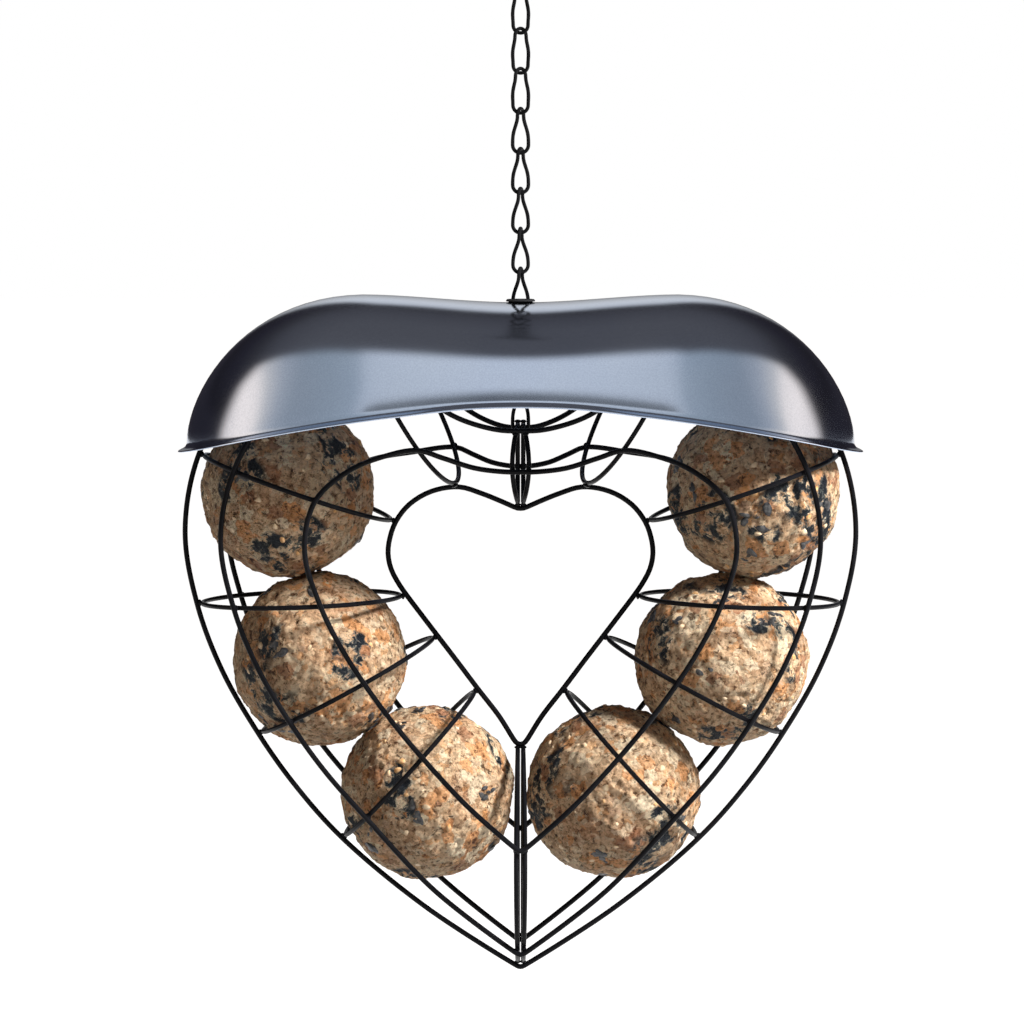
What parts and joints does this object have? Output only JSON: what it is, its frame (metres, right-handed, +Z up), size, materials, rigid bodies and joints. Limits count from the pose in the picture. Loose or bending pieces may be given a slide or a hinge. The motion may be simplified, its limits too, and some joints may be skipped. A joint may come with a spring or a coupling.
{
  "type": "hanging bird feeder",
  "caption": "Heart-shaped hanging bird feeder: a welded wire tube that holds fat balls, under a sliding domed metal roof, on a twisted chain with a hook.",
  "frame": {"origin": "inside top of the hanging hook, where it bears on the branch or bracket", "axes": "+Z up along the chain, +X to the right seen from the front, the heart's front faces -Y"},
  "size_m": [0.274, 0.127, 0.431],
  "materials": {
    "cage_wire": "black powder-coated steel wire, smooth, semi-gloss",
    "chain": "black coated steel, smooth, semi-gloss",
    "roof_paint": "pewter-grey metallic gloss paint on pressed steel",
    "grommet": "soft black rubber",
    "fat_ball": null
  },
  "bodies": {
    "hanging_hook": {"hanging_hook": "chain"},
    "first_link": {"chain_link_01": "chain"},
    "second_link": {"chain_link_02": "chain"},
    "feeder": {"chain_link_03": "chain", "chain_link_04": "chain", "chain_link_05": "chain", "chain_link_06": "chain", "chain_link_07": "chain", "chain_link_08": "chain", "chain_link_09": "chain", "chain_link_10": "chain", "chain_link_11": "chain", "outer_heart_wire": "cage_wire", "window_heart_wire": "cage_wire", "front_outer_side_wire": "cage_wire", "front_inner_side_wire": "cage_wire", "back_outer_side_wire": "cage_wire", "back_inner_side_wire": "cage_wire", "left_mouth_ring": "cage_wire", "left_ring_1": "cage_wire", "left_ring_2": "cage_wire", "left_ring_3": "cage_wire", "left_ring_4": "cage_wire", "left_tip_ring": "cage_wire", "left_cusp_ring": "cage_wire", "right_mouth_ring": "cage_wire", "right_ring_1": "cage_wire", "right_ring_2": "cage_wire", "right_ring_3": "cage_wire", "right_ring_4": "cage_wire", "right_tip_ring": "cage_wire", "right_cusp_ring": "cage_wire", "left_fat_ball_1": "fat_ball", "left_fat_ball_2": "fat_ball", "left_fat_ball_3": "fat_ball", "right_fat_ball_1": "fat_ball", "right_fat_ball_2": "fat_ball", "right_fat_ball_3": "fat_ball"},
    "roof": {"roof": "roof_paint", "roof_grommet": "grommet"}
  },
  "joints": [
    {"name": "first_link_swing", "type": "hinge", "parent": "hanging_hook", "child": "first_link", "pos_m": [0, 0, -0.03775], "axis": [0.866, -0.5, 0], "range_deg": [-30, 30]},
    {"name": "second_link_swing", "type": "hinge", "parent": "first_link", "child": "second_link", "pos_m": [0, 0, -0.05135], "axis": [0.7071, 0.7071, 0], "range_deg": [-30, 30]},
    {"name": "chain_turn", "type": "hinge", "parent": "second_link", "child": "feeder", "pos_m": [0, 0, -0.06815], "axis": [0, 0, 1], "range_deg": [-25, 25]},
    {"name": "roof_slide", "type": "slide", "parent": "feeder", "child": "roof", "axis": [0, 0, 1], "range_m": [0, 0.07]}
  ]
}
